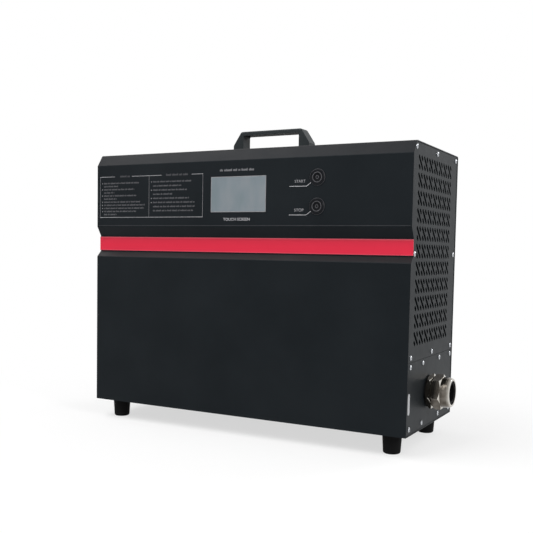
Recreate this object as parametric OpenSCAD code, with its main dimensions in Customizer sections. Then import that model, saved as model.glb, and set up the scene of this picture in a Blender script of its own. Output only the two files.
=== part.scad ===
// Free-standing battery charger cabinet: folded hood, slotted side covers, touch screen, two push
// buttons, cable glands, bridge handle, rubber feet, and the fans and power parts inside.
// The front faces -Y, X runs to the right, and the feet stand on Z = 0.

/* [Cabinet] */
// Width over the ends of the folded hood
cab_w = 540; // [520:1:640]
// Depth from the front panel to the rear panel
cab_d = 218; // [208:1:260]
// Thickness of the folded steel sheet
sheet_t = 1.5; // [1:0.1:2]
// Inside radius of every fold
bend_r = 1.5; // [0.8:0.1:2.5]
// Gap round the pieces that drop into the hood
fit_gap = 0.2; // [0.1:0.05:0.4]
// Height of the base tray's front and rear upstands
upstand_h = 25; // [20:1:32]

/* [Front profile] */
// Height of the flat lower front panel
lower_panel_h = 238; // [220:1:280]
// Height of the slope from the lower panel in to the stripe
lower_slope_h = 9; // [8:1:20]
// Height of the recessed stripe
stripe_h = 25; // [16:1:40]
// Height of the slope from the stripe out to the fascia
upper_slope_h = 15; // [8:1:24]
// Height of the fascia that holds the screen and the buttons
fascia_h = 99; // [94:1:130]
// Height of the bevel above the fascia
bevel_h = 18; // [10:1:30]
// Set-back of the bevel at the top
bevel_d = 12; // [6:1:20]
// Depth of the stripe's recess
recess_d = 9; // [5:0.5:12]
// Thickness of the red strip
strip_t = 1.5; // [0.8:0.1:2.5]

/* [Side covers] */
// Height of the plain plate below each slotted cover
plate_h = 102; // [96:1:115]
// Gap between the covers, the plates and the hood
cover_gap = 0.5; // [0.3:0.1:1]
// How far the covers sit below the hood's ends
cover_inset = 0.6; // [0:0.1:1.5]
// Width of the end frames' front rail behind the recess
front_rail_w = 12; // [10:1:16]
// Width of the end frames' rear rail
rear_rail_w = 22; // [18:1:28]
// Width of the end frames' top rail
top_rail_w = 14; // [13:1:18]
// Width of the end frames' rail behind the seam
seam_rail_w = 26; // [24:1:30]
// Width of the end frames' bottom rail
bottom_rail_w = 17; // [15:1:20]

/* [Grille] */
// Width of a slot
slot_w = 5.2; // [3:0.1:7]
// Height of one row of slots
row_h = 20.5; // [16:0.5:24]
// Plain band between two rows
row_gap = 3.7; // [2:0.1:8]
// Distance between neighbouring slots along a row
slot_pitch = 11.8; // [10:0.1:16]
// Bridge in the middle of each split slot
bridge_h = 4.5; // [2:0.1:6]
// Plain margin in front of the grille
grille_front = 22; // [22:1:34]
// Plain margin behind the grille
grille_rear = 30; // [28:1:40]
// Plain margin over the grille
grille_top = 18; // [18:1:30]
// Plain margin under the grille, above the seam
grille_bottom = 20; // [18:1:30]

/* [Screws] */
// Thread diameter of the cover screws
screw_d = 4; // [3:0.5:5]
// Head diameter of the cover screws
screw_head_d = 7; // [6:0.5:9]
// Head height of the cover screws
screw_head_h = 2.4; // [1.5:0.1:3.5]
// Length of the cover screws under the head
screw_len = 9; // [7:0.5:14]
// Play of a screw in its hole, on the diameter
screw_play = 0.3; // [0.1:0.05:0.6]
// Distance from the front panel to the front column of screws
screw_front = 12; // [11:0.5:13]
// Distance from the rear panel to the rear column of screws
screw_rear = 13; // [11:0.5:14]
// Distance from a cover's edge to its rows of screws
screw_edge = 6.5; // [6:0.5:8]
// Distance from the plate's middle to the screws beside the gland
screw_beside_gland = 40; // [34:1:50]
// Number of screws along the rear panel's lower edge
rear_screw_n = 4; // [2:1:6]

/* [Handle] */
// Length of the handle at its foot
handle_l = 136; // [120:1:200]
// Length of the handle at its top
handle_top_l = 107; // [80:1:120]
// Height of the handle
handle_h = 40; // [34:1:60]
// Height at which the handle's ends start to slope
handle_square_h = 18; // [10:1:24]
// Depth of the handle, front to rear
handle_d = 22; // [18:1:40]
// Length of the finger opening
handle_open_l = 100; // [76:1:102]
// Thickness of the grip bar
handle_bar_t = 6.5; // [5:0.5:14]
// Corner radius of the finger opening
handle_open_r = 2; // [1:0.5:14]
// Rounding of the handle's edges
handle_edge_r = 2.5; // [1:0.5:8]
// Thread diameter of the handle's screws
handle_screw_d = 6; // [5:0.5:8]
// How far the handle's screws reach into its legs
handle_screw_grip = 13; // [10:1:16]

/* [Feet] */
// Height of a foot
foot_h = 30; // [20:1:40]
// Diameter of a foot at the cabinet
foot_top_d = 28; // [24:1:36]
// Diameter of a foot at the floor
foot_floor_d = 25; // [20:1:32]
// Distance from the cabinet's sides to the axis of a foot
foot_inset = 30; // [24:1:36]
// Thickness of rubber between the foot's screw and the cabinet
foot_web_t = 10; // [6:1:14]
// Thread diameter of the foot screws
foot_screw_d = 5; // [4:0.5:6]

/* [Output gland] */
// How far the glands sit in front of the lower plates' middle
gland_forward = 10; // [0:1:16]
// Turn of the glands' hexagons from one corner upwards
gland_turn = 15; // [0:1:30]
// Thread diameter of the output gland
out_thread_d = 40; // [32:1:40]
// Width across the flats of the output gland
out_hex_af = 45; // [44:1:48]
// Bore of the output gland's seal
out_bore_d = 26; // [18:1:28]
// Length of the output gland outside the plate
out_reach = 36; // [28:1:44]

/* [Inlet gland] */
// Thread diameter of the mains inlet gland
in_thread_d = 32; // [25:1:32]
// Width across the flats of the mains inlet gland
in_hex_af = 36; // [36:1:42]
// Bore of the mains inlet gland's seal
in_bore_d = 19; // [12:1:21]
// Length of the mains inlet gland outside the plate
in_reach = 33; // [26:1:42]

/* [Screen] */
// Width of the touch screen's window
screen_w = 95; // [80:1:110]
// Height of the touch screen's window
screen_h = 53; // [44:1:62]
// Distance of the window's centre from the middle of the cabinet
screen_x = -1; // [-20:1:20]
// Height of the window's centre above the foot of the fascia
screen_rise = 48.5; // [44:0.5:52]
// Gap round the screen's glass
screen_gap = 0.25; // [0.1:0.05:0.5]
// Rim of the display module round the window
lcd_rim = 5; // [4:0.5:8]
// Thickness of the display module
lcd_t = 3; // [2:0.5:6]
// Rim of the control board round the display module
board_rim = 8; // [7:0.5:12]
// Thickness of the circuit boards
board_t = 1.6; // [1:0.1:2.4]
// Diameter of the boards' standoffs
standoff_d = 5.5; // [4:0.5:6]

/* [Push buttons] */
// Diameter of a button's bezel
bezel_d = 24; // [22:0.5:28]
// Height of a button's bezel
bezel_h = 2.4; // [1.5:0.1:4]
// Diameter of a button's threaded barrel
barrel_d = 19; // [16:0.5:20]
// Length of a button's barrel behind the fascia
barrel_l = 24; // [20:1:32]
// Diameter of the cap that is pressed
cap_d = 15; // [11:0.5:15.5]
// Height of the cap above the fascia
cap_rise = 2; // [1:0.1:3]
// Length of the cap
cap_l = 17; // [14:0.5:19]
// Gap between the cap and its barrel
cap_gap = 0.1; // [0.05:0.05:0.3]
// Thickness of a button's nut
button_nut_h = 4; // [3:0.5:6]
// Distance of the buttons from the middle of the cabinet
button_x = 129.5; // [110:0.5:180]
// Height of the stop button above the foot of the fascia
stop_rise = 29; // [24:0.5:32]
// Distance between the two buttons
button_pitch = 41; // [36:0.5:44]

/* [Fans] */
// Side of a fan's square frame
fan_w = 120; // [92:1:120]
// Depth of a fan's frame
fan_t = 38; // [32:1:40]
// Diameter of a fan's rotor hub
fan_hub_d = 46; // [40:1:52]
// Gap between the blades' tips and the frame
fan_tip_gap = 1.5; // [1:0.1:3]
// Number of blades on a fan
fan_blade_n = 7; // [5:1:9]
// Thickness of a fan blade
fan_blade_t = 2; // [1.5:0.1:3]
// Angle of the blades to the fan's axis
fan_blade_pitch = 52; // [40:1:60]
// Diameter of a fan's shaft
fan_shaft_d = 4; // [3:0.5:6]
// Running gap between a fan's shaft and its bearing
fan_shaft_gap = 0.05; // [0.02:0.01:0.1]
// Gap between the two fans
fan_space = 10; // [6:1:16]
// Gap between the fan bracket's flange and the left feet's collars
fan_clear = 2; // [1:0.5:8]

/* [Power parts] */
// Length of the raised deck for the power parts
deck_l = 340; // [320:1:350]
// Depth of the raised deck
deck_d = 168; // [160:1:172]
// Height of the deck over the base tray
deck_h = 110; // [100:1:118]
// Width of the deck's and the bracket's fixing flanges
flange_w = 14; // [10:1:16]
// Length of the heat sink
sink_l = 300; // [240:1:310]
// Width of the heat sink
sink_w = 74; // [60:1:76]
// Height of the heat sink
sink_h = 120; // [60:1:140]
// Thickness of the heat sink's base
sink_base_t = 8; // [5:0.5:12]
// Number of fins on the heat sink
sink_fin_n = 10; // [6:1:12]
// Thickness of a fin
sink_fin_t = 2; // [1.2:0.1:3]
// Length of the power board
power_board_l = 300; // [280:1:310]
// Width of the power board
power_board_w = 76; // [72:1:78]
// Height of the power board over the deck
power_board_rise = 8; // [6:0.5:14]
// Width of the transformer's core
core_w = 84; // [70:1:96]
// Height of the transformer's core
core_h = 74; // [60:1:90]
// Thickness of the transformer's core
core_t = 34; // [26:1:40]
// Width of the core's middle leg
core_leg_w = 24; // [18:1:28]
// Gap between the winding and the core
winding_gap = 0.3; // [0.2:0.05:0.6]
// Diameter of a bulk capacitor
cap_can_d = 34; // [25:1:36]
// Height of a bulk capacitor
cap_can_h = 55; // [35:1:70]
// Number of bulk capacitors
cap_can_n = 4; // [2:1:4]
// Outer diameter of the output choke
choke_d = 70; // [56:1:74]
// Diameter of the choke's wound ring
choke_ring_d = 26; // [18:1:28]
// Length of the mains filter
filter_l = 110; // [90:1:120]
// Width of the mains filter
filter_w = 72; // [56:1:76]
// Height of the mains filter
filter_h = 48; // [36:1:60]
// Length of the mains terminal block
terminal_l = 66; // [48:1:70]
// Width of the output contactor
contactor_w = 66; // [60:1:72]
// Height of the output contactor
contactor_h = 68; // [56:1:74]
// Width of a busbar
bar_w = 25; // [20:1:26]
// Thickness of a busbar
bar_t = 4; // [3:0.5:6]
// Length of a busbar beyond the deck
bar_reach = 48; // [40:1:56]
// Thread diameter of the busbar studs
stud_d = 8; // [6:1:8]

/* [Label] */
// Width of the pale strip on the right lower plate
label_w = 8; // [5:0.5:10]
// Length of the pale strip
label_l = 30; // [20:1:34]
// Thickness of the pale strip
label_t = 0.4; // [0.3:0.1:0.8]
// Distance from the front panel to the strip's axis
label_front = 9; // [8:0.5:12]
// Height of the strip's lower end above the cabinet's base
label_rise = 30; // [26:1:36]

/* [Hidden] */

// Curves are true circles; this only sets how finely they are drawn
$fn = 48;
// Straight steps in each fold and rounded corner
bend_steps = 6;
// A cut reaches this far past the surface that it opens
cut = 1;
// Smallest radius of a rounded corner
least_r = 0.1;

// Heights and planes of the cabinet
front_y = -cab_d / 2;
rear_y = cab_d / 2;
base_z = foot_h;
floor_z = base_z + sheet_t;
stripe_z = base_z + lower_panel_h + lower_slope_h;
fascia_z = stripe_z + stripe_h + upper_slope_h;
top_z = fascia_z + fascia_h + bevel_h;
seam_z = base_z + plate_h;
cover_x = cab_w / 2 - cover_inset;
frame_x = cover_x - sheet_t;
inner_front = front_y + recess_d + sheet_t;
inner_rear = rear_y - sheet_t;

foot_collar_d = 1.8 * foot_screw_d;
foot_collar_h = 2.5;

// Columns and rows of the cover screws
column_front = front_y + screw_front;
column_rear = rear_y - screw_rear;
column_middle = (column_front + column_rear) / 2;
column_recess = inner_front + cover_gap + screw_head_d / 2 + fit_gap;
row_top = top_z - sheet_t - cover_gap - screw_edge;
row_recess = stripe_z + screw_head_d / 2 + fit_gap;
row_seam = seam_z + screw_edge;
row_plate = seam_z - screw_edge;
row_bottom = floor_z + fit_gap + screw_edge + sheet_t;
bevel_at_row = bevel_d * (1 - (top_z - row_top) / bevel_h);
bevel_wall = (sheet_t + cover_gap) * norm([bevel_d, bevel_h]) / bevel_h;
column_bevel = max(column_front, front_y + bevel_at_row + bevel_wall + screw_head_d / 2 + fit_gap);

// Glands
gland_y = column_middle - gland_forward;
gland_z = (floor_z + seam_z) / 2;
gland_washer_t = 2;
gland_hex_h = 7;
gland_nut_hex_h = 13;
gland_joint_gap = 1;
gland_tail = 11;
gland_locknut_h = 5;
gland_wall = 2.5;
gland_seal_wall_gap = 0.3;
thread_play = 0.2;

// Fans
fan_x = -cab_w / 2 + foot_inset + foot_collar_d / 2 + fan_clear + flange_w;
fan_inner_x = fan_x + sheet_t + fan_t;
fan_bore_d = fan_w - 6;
fan_hole = fan_w / 2 - 7.5;
grille_mid_z = (seam_z + grille_bottom + top_z - grille_top) / 2;
upper_fan_z = grille_mid_z + (fan_w + fan_space) / 2;
lower_fan_z = grille_mid_z - (fan_w + fan_space) / 2;
fan_base_t = 5;
fan_bearing_d = 3 * fan_shaft_d;

// Deck and what stands on it
deck_x0 = fan_inner_x + cut + flange_w + sheet_t;
deck_x1 = deck_x0 + deck_l;
deck_mid_x = (deck_x0 + deck_x1) / 2;
deck_z = floor_z + deck_h;
deck_y = (inner_front + inner_rear) / 2;
sink_y = deck_y + deck_d / 4;
power_board_y = deck_y - deck_d / 4;
power_board_z = deck_z + power_board_rise;
board_top_z = power_board_z + board_t;
core_x = deck_mid_x + power_board_l / 2 - core_w / 2 - 14;
cap_pitch = cap_can_d + 6;
cap_x0 = deck_mid_x - power_board_l / 2 + cap_can_d / 2 + 14;
contactor_x = deck_x1 - contactor_w / 2 - 14;
contactor_l = 2 * bar_w + 26;
contactor_y = deck_y - deck_d / 2 + contactor_l / 2 + 8;
bar_y_step = bar_w / 2 + 6;
bar_z = floor_z + contactor_h;
bar_x0 = contactor_x - bar_w / 2;
bar_x1 = deck_x1 + bar_reach;
filter_x = deck_x0 + filter_l / 2 + 22;
filter_y = deck_y + deck_d / 2 - filter_w / 2 - 8;
choke_x = filter_x + filter_l / 2 + choke_d / 2 + 16;
choke_y = deck_y + deck_d / 2 - choke_d / 2 - 8;
terminal_x = deck_x0 + terminal_l / 2 + 22;
terminal_w = 26;
terminal_h = 30;
terminal_y = deck_y - deck_d / 2 + terminal_w / 2 + 16;

// Colours
charcoal = "#2b2e32";
rim_grey = "#4a4d52";
stripe_red = "#c8303f";
black = "#17181a";
soft_black = "#202224";
nickel = "#c9c6bd";
steel = "#b9bcc0";
aluminium = "#aeb2b6";
copper = "#b87042";
board_green = "#1f5c3a";
pale = "#d5d7d8";
screen_grey = "#9aa3ab";
can_blue = "#27364f";
ferrite = "#3a3b3d";
winding_amber = "#a86a2c";

// Outline of the hood from the front lower edge over the top to the rear lower edge, as [y, z],
// with its two ends at the height given
function hood_path(end_z) = [
    [front_y, end_z],
    [front_y, base_z + lower_panel_h],
    [front_y + recess_d, stripe_z],
    [front_y + recess_d, stripe_z + stripe_h],
    [front_y, fascia_z],
    [front_y, fascia_z + fascia_h],
    [front_y + bevel_d, top_z],
    [rear_y, top_z],
    [rear_y, end_z]
];

// Plane geometry of folded paths: an offset goes to the right of the path's direction
function heading(a, b) = (b - a) / norm(b - a);
function right_of(u) = [u.y, -u.x];
function turned(v, a) = [v.x * cos(a) - v.y * sin(a), v.x * sin(a) + v.y * cos(a)];
function reversed(list) = [for (i = [len(list) - 1:-1:0]) list[i]];
function mitre(a, b, c, d) =
    let (m = right_of(heading(a, b)), n = right_of(heading(b, c)))
    b + d * (m + n) / (1 + m * n);
function shifted(path, d) = [
    for (i = [0:len(path) - 1])
        i == 0 ? path[0] + d * right_of(heading(path[0], path[1]))
        : i == len(path) - 1 ? path[i] + d * right_of(heading(path[i - 1], path[i]))
        : mitre(path[i - 1], path[i], path[i + 1], d)
];
// Points round one corner, with its own radius for a turn to the right and to the left
function corner(a, b, c, right_r, left_r) =
    let (
        u = heading(a, b),
        v = heading(b, c),
        side = u.x * v.y - u.y * v.x < 0 ? 1 : -1,
        r = side > 0 ? right_r : left_r,
        angle = acos(min(1, u * v)),
        start = b - r * tan(angle / 2) * u,
        centre = start + side * r * right_of(u)
    )
    [for (k = [0:bend_steps]) centre + turned(start - centre, -side * angle * k / bend_steps)];
function rounded(path, right_r, left_r) = [
    path[0],
    for (i = [1:len(path) - 2]) each corner(path[i - 1], path[i], path[i + 1], right_r, left_r),
    path[len(path) - 1]
];
// One face of a folded sheet, at depth d under the face that the path gives
function sheet_face(path, d) =
    rounded(shifted(path, d), max(bend_r + sheet_t - d, least_r), bend_r + d);
function sheet_section(path) = concat(sheet_face(path, 0), reversed(sheet_face(path, sheet_t)));

// Draws a [y, z] outline from x = x0 over a length along X
module along_x(x0, length) {
    translate([x0, 0, 0])
        rotate([90, 0, 90])
            linear_extrude(length)
                children();
}

// Draws an [x, z] outline from y = y0 over a length along Y
module along_y(y0, length) {
    translate([0, y0 + length, 0])
        rotate([90, 0, 0])
            linear_extrude(length)
                children();
}

// Box by its centre in x and y and its lower face
module block(x, y, z, l, w, h) {
    translate([x - l / 2, y - w / 2, z])
        cube([l, w, h]);
}

// Pan-head screw along Z: the head stands on z = 0 and the shank points down
module pan_screw(d, head_d, head_h, length) {
    recess_w = head_d * 0.14;
    recess_l = head_d * 0.56;
    difference() {
        intersection() {
            cylinder(d = head_d, h = head_h);
            dome_r = (head_d * head_d / 4 + head_h * head_h) / (2 * head_h) + head_h / 3;
            translate([0, 0, head_h - dome_r])
                sphere(r = dome_r);
        }
        for (a = [0, 90])
            rotate([0, 0, a])
                block(0, 0, head_h * 0.4, recess_l, recess_w, head_h);
    }
    translate([0, 0, -length])
        cylinder(d = d, h = length + head_h * 0.2);
}

// Hexagonal prism along Z with its corners turned down by a cone at both ends, one corner on +X
module hex_prism(af, h) {
    corner_d = af / cos(30);
    bevel = corner_d - af;
    intersection() {
        cylinder(d = corner_d, h = h, $fn = 6);
        rotate_extrude()
            polygon([
                [0, 0],
                [corner_d / 2 - bevel / 2, 0],
                [corner_d / 2, bevel / 3],
                [corner_d / 2, h - bevel / 3],
                [corner_d / 2 - bevel / 2, h],
                [0, h]
            ]);
    }
}

// Places of the screws on the right side, as [y, z]
cover_spots = [
    [column_bevel, row_top],
    [column_middle, row_top],
    [column_rear, row_top],
    [column_recess, row_recess],
    [column_rear, row_recess],
    [column_front, row_seam],
    [column_middle, row_seam],
    [column_rear, row_seam]
];
plate_columns = [
    column_front,
    column_middle - screw_beside_gland,
    column_middle + screw_beside_gland,
    column_rear
];
plate_spots = [for (z = [row_plate, row_bottom], y = plate_columns) [y, z]];
rear_spots = [
    for (i = [0:rear_screw_n - 1])
        [(i - (rear_screw_n - 1) / 2) * (cab_w - 2 * foot_inset) / (rear_screw_n - 1), base_z + upstand_h / 2]
];
foot_spots = [
    for (y = [front_y + foot_inset, rear_y - foot_inset], x = [-1, 1])
        [x * (cab_w / 2 - foot_inset), y]
];
handle_screw_x = (handle_l + handle_open_l) / 4;

module screw_holes(spots, play) {
    for (p = spots)
        translate(p)
            circle(d = screw_d + play);
}

// Rounded slot between two points
module slot(a, b) {
    translate(a)
        rotate(atan2(b.y - a.y, b.x - a.x)) {
            translate([0, -slot_w / 2])
                square([norm(b - a), slot_w]);
            circle(d = slot_w);
            translate([norm(b - a), 0])
                circle(d = slot_w);
        }
}

// Rows of slots that lean back as they fall: each long slot stands beside one split by a bridge
module grille() {
    unit = 2 * slot_pitch;
    field_y = cab_d - grille_front - grille_rear;
    field_z = top_z - grille_top - seam_z - grille_bottom;
    rows = floor((field_z + row_gap) / (row_h + row_gap));
    units = floor(field_y / unit);
    fall = row_h - slot_w;
    short = (row_h - bridge_h) / 2 - slot_w;
    for (r = [0:rows - 1], i = [0:units - 1]) {
        start = [
            front_y + grille_front + slot_w / 2 + i * unit,
            top_z - grille_top - slot_w / 2 - r * (row_h + row_gap)
        ];
        upper = start + [slot_pitch, 0];
        lower = start + [fall - slot_pitch, -fall];
        slot(start, start + [fall, -fall]);
        slot(upper, upper + [short, -short]);
        slot(lower, lower + [-short, short]);
    }
}

module outer_wrap() {
    hole_z = fascia_z + stop_rise;
    color(charcoal)
        difference() {
            along_x(-cab_w / 2, cab_w)
                polygon(sheet_section(hood_path(base_z)));
            along_y(front_y - cut, sheet_t + 2 * cut) {
                translate([screen_x, screen_z])
                    square([screen_w + 2 * screen_gap, screen_h + 2 * screen_gap], center = true);
                for (z = [hole_z, hole_z + button_pitch])
                    translate([button_x, z])
                        circle(d = barrel_d + thread_play);
            }
            for (x = [-handle_screw_x, handle_screw_x])
                translate([x, 0, top_z - sheet_t - cut])
                    cylinder(d = handle_screw_d + screw_play, h = sheet_t + 2 * cut);
            along_y(inner_rear - cut, sheet_t + 2 * cut)
                screw_holes(rear_spots, screw_play);
        }
}

module base_tray() {
    side_front = front_y + sheet_t + fit_gap;
    side_rear = rear_y - sheet_t - fit_gap;
    channel_l = cab_w - 2 * (cab_w / 2 - frame_x + sheet_t + fit_gap);
    tray_path = [
        [side_rear, base_z + upstand_h],
        [side_rear, base_z],
        [side_front, base_z],
        [side_front, base_z + upstand_h]
    ];
    flat_inset = bend_r + sheet_t;
    color(rim_grey)
        difference() {
            union() {
                along_x(-channel_l / 2, channel_l)
                    polygon(sheet_section(tray_path));
                along_x(-cab_w / 2, cab_w)
                    translate([side_front + flat_inset, base_z])
                        square([side_rear - side_front - 2 * flat_inset, sheet_t]);
                for (p = foot_spots)
                    translate([p.x, p.y, floor_z - sheet_t / 2])
                        cylinder(d = foot_collar_d, h = foot_collar_h + sheet_t / 2);
            }
            for (p = foot_spots)
                translate([p.x, p.y, base_z - cut])
                    cylinder(d = foot_screw_d + thread_play, h = sheet_t + foot_collar_h + 2 * cut);
            along_y(side_rear - sheet_t - cut, sheet_t + 2 * cut)
                screw_holes(rear_spots, thread_play);
        }
}

module accent_strip() {
    fold_reach = (bend_r + sheet_t) / 2;
    color(stripe_red)
        along_x(-cab_w / 2, cab_w)
            translate([front_y + recess_d - strip_t, stripe_z + fold_reach])
                square([strip_t, stripe_h - 2 * fold_reach]);
}

// Frame behind one pair of covers, drawn for the right end
module end_frame() {
    window_front = inner_front + front_rail_w;
    window_rear = inner_rear - rear_rail_w;
    window_top = top_z - sheet_t - top_rail_w;
    window_bottom = floor_z + bottom_rail_w;
    color(rim_grey)
        along_x(frame_x - sheet_t, sheet_t)
            difference() {
                polygon(sheet_face(hood_path(floor_z), sheet_t + fit_gap));
                translate([window_front, seam_z + seam_rail_w / 2])
                    square([window_rear - window_front, window_top - seam_z - seam_rail_w / 2]);
                translate([window_front, window_bottom])
                    square([window_rear - window_front, seam_z - seam_rail_w / 2 - window_bottom]);
                screw_holes(cover_spots, thread_play);
                screw_holes(plate_spots, thread_play);
            }
}

// Slotted cover, drawn for the right end
module side_cover() {
    color(charcoal)
        along_x(frame_x, sheet_t)
            difference() {
                polygon(sheet_face(hood_path(seam_z + cover_gap / 2), sheet_t + cover_gap));
                grille();
                screw_holes(cover_spots, screw_play);
            }
}

// Plain plate under a slotted cover, with the hole of its gland, drawn for the right end
module lower_plate(gland_d) {
    plate_front = front_y + sheet_t + cover_gap;
    plate_rear = rear_y - sheet_t - cover_gap;
    color(charcoal)
        along_x(frame_x, sheet_t)
            difference() {
                translate([plate_front, floor_z + fit_gap])
                    square([plate_rear - plate_front, seam_z - cover_gap / 2 - floor_z - fit_gap]);
                translate([gland_y, gland_z])
                    circle(d = gland_d + thread_play);
                screw_holes(plate_spots, screw_play);
            }
}

module cover_screws() {
    color(steel)
        for (p = concat(cover_spots, plate_spots))
            translate([cover_x, p.x, p.y])
                rotate([0, 90, 0])
                    pan_screw(screw_d, screw_head_d, screw_head_h, screw_len);
}

module right_end_frame() { end_frame(); }
module left_end_frame() { mirror([1, 0, 0]) end_frame(); }
module right_side_cover() { side_cover(); }
module left_side_cover() { mirror([1, 0, 0]) side_cover(); }
module right_lower_plate() { lower_plate(out_thread_d); }
module left_lower_plate() { mirror([1, 0, 0]) lower_plate(in_thread_d); }
module right_cover_screws() { cover_screws(); }
module left_cover_screws() { mirror([1, 0, 0]) cover_screws(); }

module rear_screws() {
    color(steel)
        for (p = rear_spots)
            translate([p.x, rear_y, p.y])
                rotate([-90, 0, 0])
                    pan_screw(screw_d, screw_head_d, screw_head_h, screw_len);
}

module blank_label() {
    color(pale)
        along_x(cover_x, label_t)
            translate([front_y + label_front, base_z + label_rise]) {
                translate([-label_w / 2, label_w / 2])
                    square([label_w, label_l - label_w]);
                for (z = [label_w / 2, label_l - label_w / 2])
                    translate([0, z])
                        circle(d = label_w);
            }
}

// Bridge handle: its outline seen from the front, rounded off along its front and rear top edges
module carry_handle() {
    end_path = [
        [-handle_l / 2, 0],
        [-handle_l / 2, handle_square_h],
        [-handle_top_l / 2, handle_h],
        [handle_top_l / 2, handle_h],
        [handle_l / 2, handle_square_h],
        [handle_l / 2, 0]
    ];
    open_h = handle_h - handle_bar_t;
    end_slope = (handle_l - handle_top_l) / 2 / (handle_h - handle_square_h);
    end_x = handle_l / 2 - (open_h - handle_square_h) * end_slope;
    open_top_x = min(handle_open_l / 2, end_x - handle_bar_t);
    open_path = [
        [-handle_open_l / 2, 0],
        [-open_top_x, open_h],
        [open_top_x, open_h],
        [handle_open_l / 2, 0]
    ];
    cross_path = [
        [-handle_d / 2, 0],
        [-handle_d / 2, handle_h],
        [handle_d / 2, handle_h],
        [handle_d / 2, 0]
    ];
    outline = concat(
        rounded(end_path, 2 * handle_edge_r, handle_edge_r),
        reversed(rounded(open_path, handle_open_r, handle_open_r))
    );
    color(soft_black)
        translate([0, 0, top_z])
            difference() {
                intersection() {
                    along_y(-handle_d / 2, handle_d)
                        polygon(outline);
                    along_x(-handle_l / 2 - cut, handle_l + 2 * cut)
                        polygon(rounded(cross_path, handle_edge_r, handle_edge_r));
                }
                for (x = [-handle_screw_x, handle_screw_x])
                    translate([x, 0, -cut])
                        cylinder(d = handle_screw_d + thread_play, h = handle_screw_grip + 2 * cut);
            }
}

module handle_screws() {
    head_d = 1.8 * handle_screw_d;
    head_h = 0.6 * handle_screw_d;
    color(steel)
        for (x = [-handle_screw_x, handle_screw_x])
            translate([x, 0, top_z - sheet_t])
                rotate([180, 0, 0])
                    pan_screw(handle_screw_d, head_d, head_h, sheet_t + handle_screw_grip);
}

// Rubber foot: a tapered turning with a rounded sole and a well for its screw
module foot(i) {
    well_d = 2.4 * foot_screw_d;
    web_z = foot_h - foot_web_t;
    sole_r = 3;
    color(black)
        translate([foot_spots[i].x, foot_spots[i].y, 0])
            rotate_extrude()
                polygon(concat(
                    [[well_d / 2, web_z], [well_d / 2, 0]],
                    [
                        for (a = [0:90 / bend_steps:90])
                            [foot_floor_d / 2 - sole_r + sole_r * sin(a), sole_r - sole_r * cos(a)]
                    ],
                    [
                        [foot_top_d / 2, foot_h - sole_r],
                        [foot_top_d / 2, foot_h],
                        [(foot_screw_d + screw_play) / 2, foot_h],
                        [(foot_screw_d + screw_play) / 2, web_z]
                    ]
                ));
}

module foot_front_left() { foot(0); }
module foot_front_right() { foot(1); }
module foot_rear_left() { foot(2); }
module foot_rear_right() { foot(3); }

module foot_screws() {
    shank_l = foot_web_t + sheet_t + 2 * foot_collar_h;
    color(steel)
        for (p = foot_spots)
            translate([p.x, p.y, foot_h - foot_web_t])
                rotate([180, 0, 0])
                    pan_screw(foot_screw_d, foot_collar_d, 0.6 * foot_screw_d, shank_l);
}

// Cable gland pieces along Z: z = 0 is the plate's outer face and the cable leaves upwards
module gland_washer(thread_d, af) {
    color(black)
        difference() {
            cylinder(d = af + 1, h = gland_washer_t);
            translate([0, 0, -cut])
                cylinder(d = thread_d + thread_play, h = gland_washer_t + 2 * cut);
        }
}

function gland_inner_d(thread_d) = thread_d - 2 * gland_wall;
function gland_nut_z() = gland_washer_t + gland_hex_h + gland_joint_gap;

module gland_body(thread_d, af) {
    neck_top = gland_nut_z() + gland_nut_hex_h;
    neck_d = thread_d - 1;
    color(nickel)
        difference() {
            union() {
                translate([0, 0, gland_washer_t])
                    hex_prism(af, gland_hex_h);
                translate([0, 0, -gland_tail])
                    cylinder(d = thread_d, h = gland_tail + gland_washer_t + gland_hex_h / 2);
                translate([0, 0, gland_washer_t + gland_hex_h / 2])
                    cylinder(d = neck_d, h = neck_top - gland_washer_t - gland_hex_h / 2);
            }
            translate([0, 0, -gland_tail - cut])
                cylinder(d = gland_inner_d(thread_d), h = gland_tail + neck_top + 2 * cut);
        }
}

module gland_seal(thread_d, bore_d, reach) {
    seal_z = gland_washer_t;
    seal_d = gland_inner_d(thread_d) - 2 * gland_seal_wall_gap;
    mouth_lip = 1.2;
    color(black)
        difference() {
            translate([0, 0, seal_z])
                cylinder(d = seal_d, h = reach - seal_z - mouth_lip);
            translate([0, 0, seal_z - cut])
                cylinder(d = bore_d, h = reach + cut);
        }
}

// Dome nut: a hexagon under a rounded collar whose lip closes on the seal
module gland_nut(thread_d, af, reach) {
    nut_z = gland_nut_z();
    collar_z = nut_z + gland_nut_hex_h;
    mouth_d = gland_inner_d(thread_d) - gland_seal_wall_gap;
    collar_r = af / 2 - 0.4;
    lip_r = mouth_d / 2 + 2.6;
    rise = reach - collar_z;
    color(nickel)
        difference() {
            union() {
                translate([0, 0, nut_z])
                    hex_prism(af, gland_nut_hex_h);
                rotate_extrude()
                    polygon(concat(
                        [[0, collar_z - gland_nut_hex_h / 2], [collar_r, collar_z - gland_nut_hex_h / 2]],
                        [
                            for (a = [0:90 / bend_steps:90])
                                [lip_r + (collar_r - lip_r) * cos(a), collar_z + rise * sin(a)]
                        ],
                        [[0, reach]]
                    ));
            }
            translate([0, 0, nut_z - cut])
                cylinder(d = thread_d - 1 + thread_play, h = gland_nut_hex_h + cut + fit_gap);
            translate([0, 0, nut_z])
                cylinder(d = mouth_d, h = reach);
        }
}

module gland_locknut(thread_d, af) {
    color(nickel)
        translate([0, 0, -sheet_t - gland_locknut_h])
            difference() {
                hex_prism(af, gland_locknut_h);
                translate([0, 0, -cut])
                    cylinder(d = thread_d + thread_play, h = gland_locknut_h + 2 * cut);
            }
}

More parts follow.
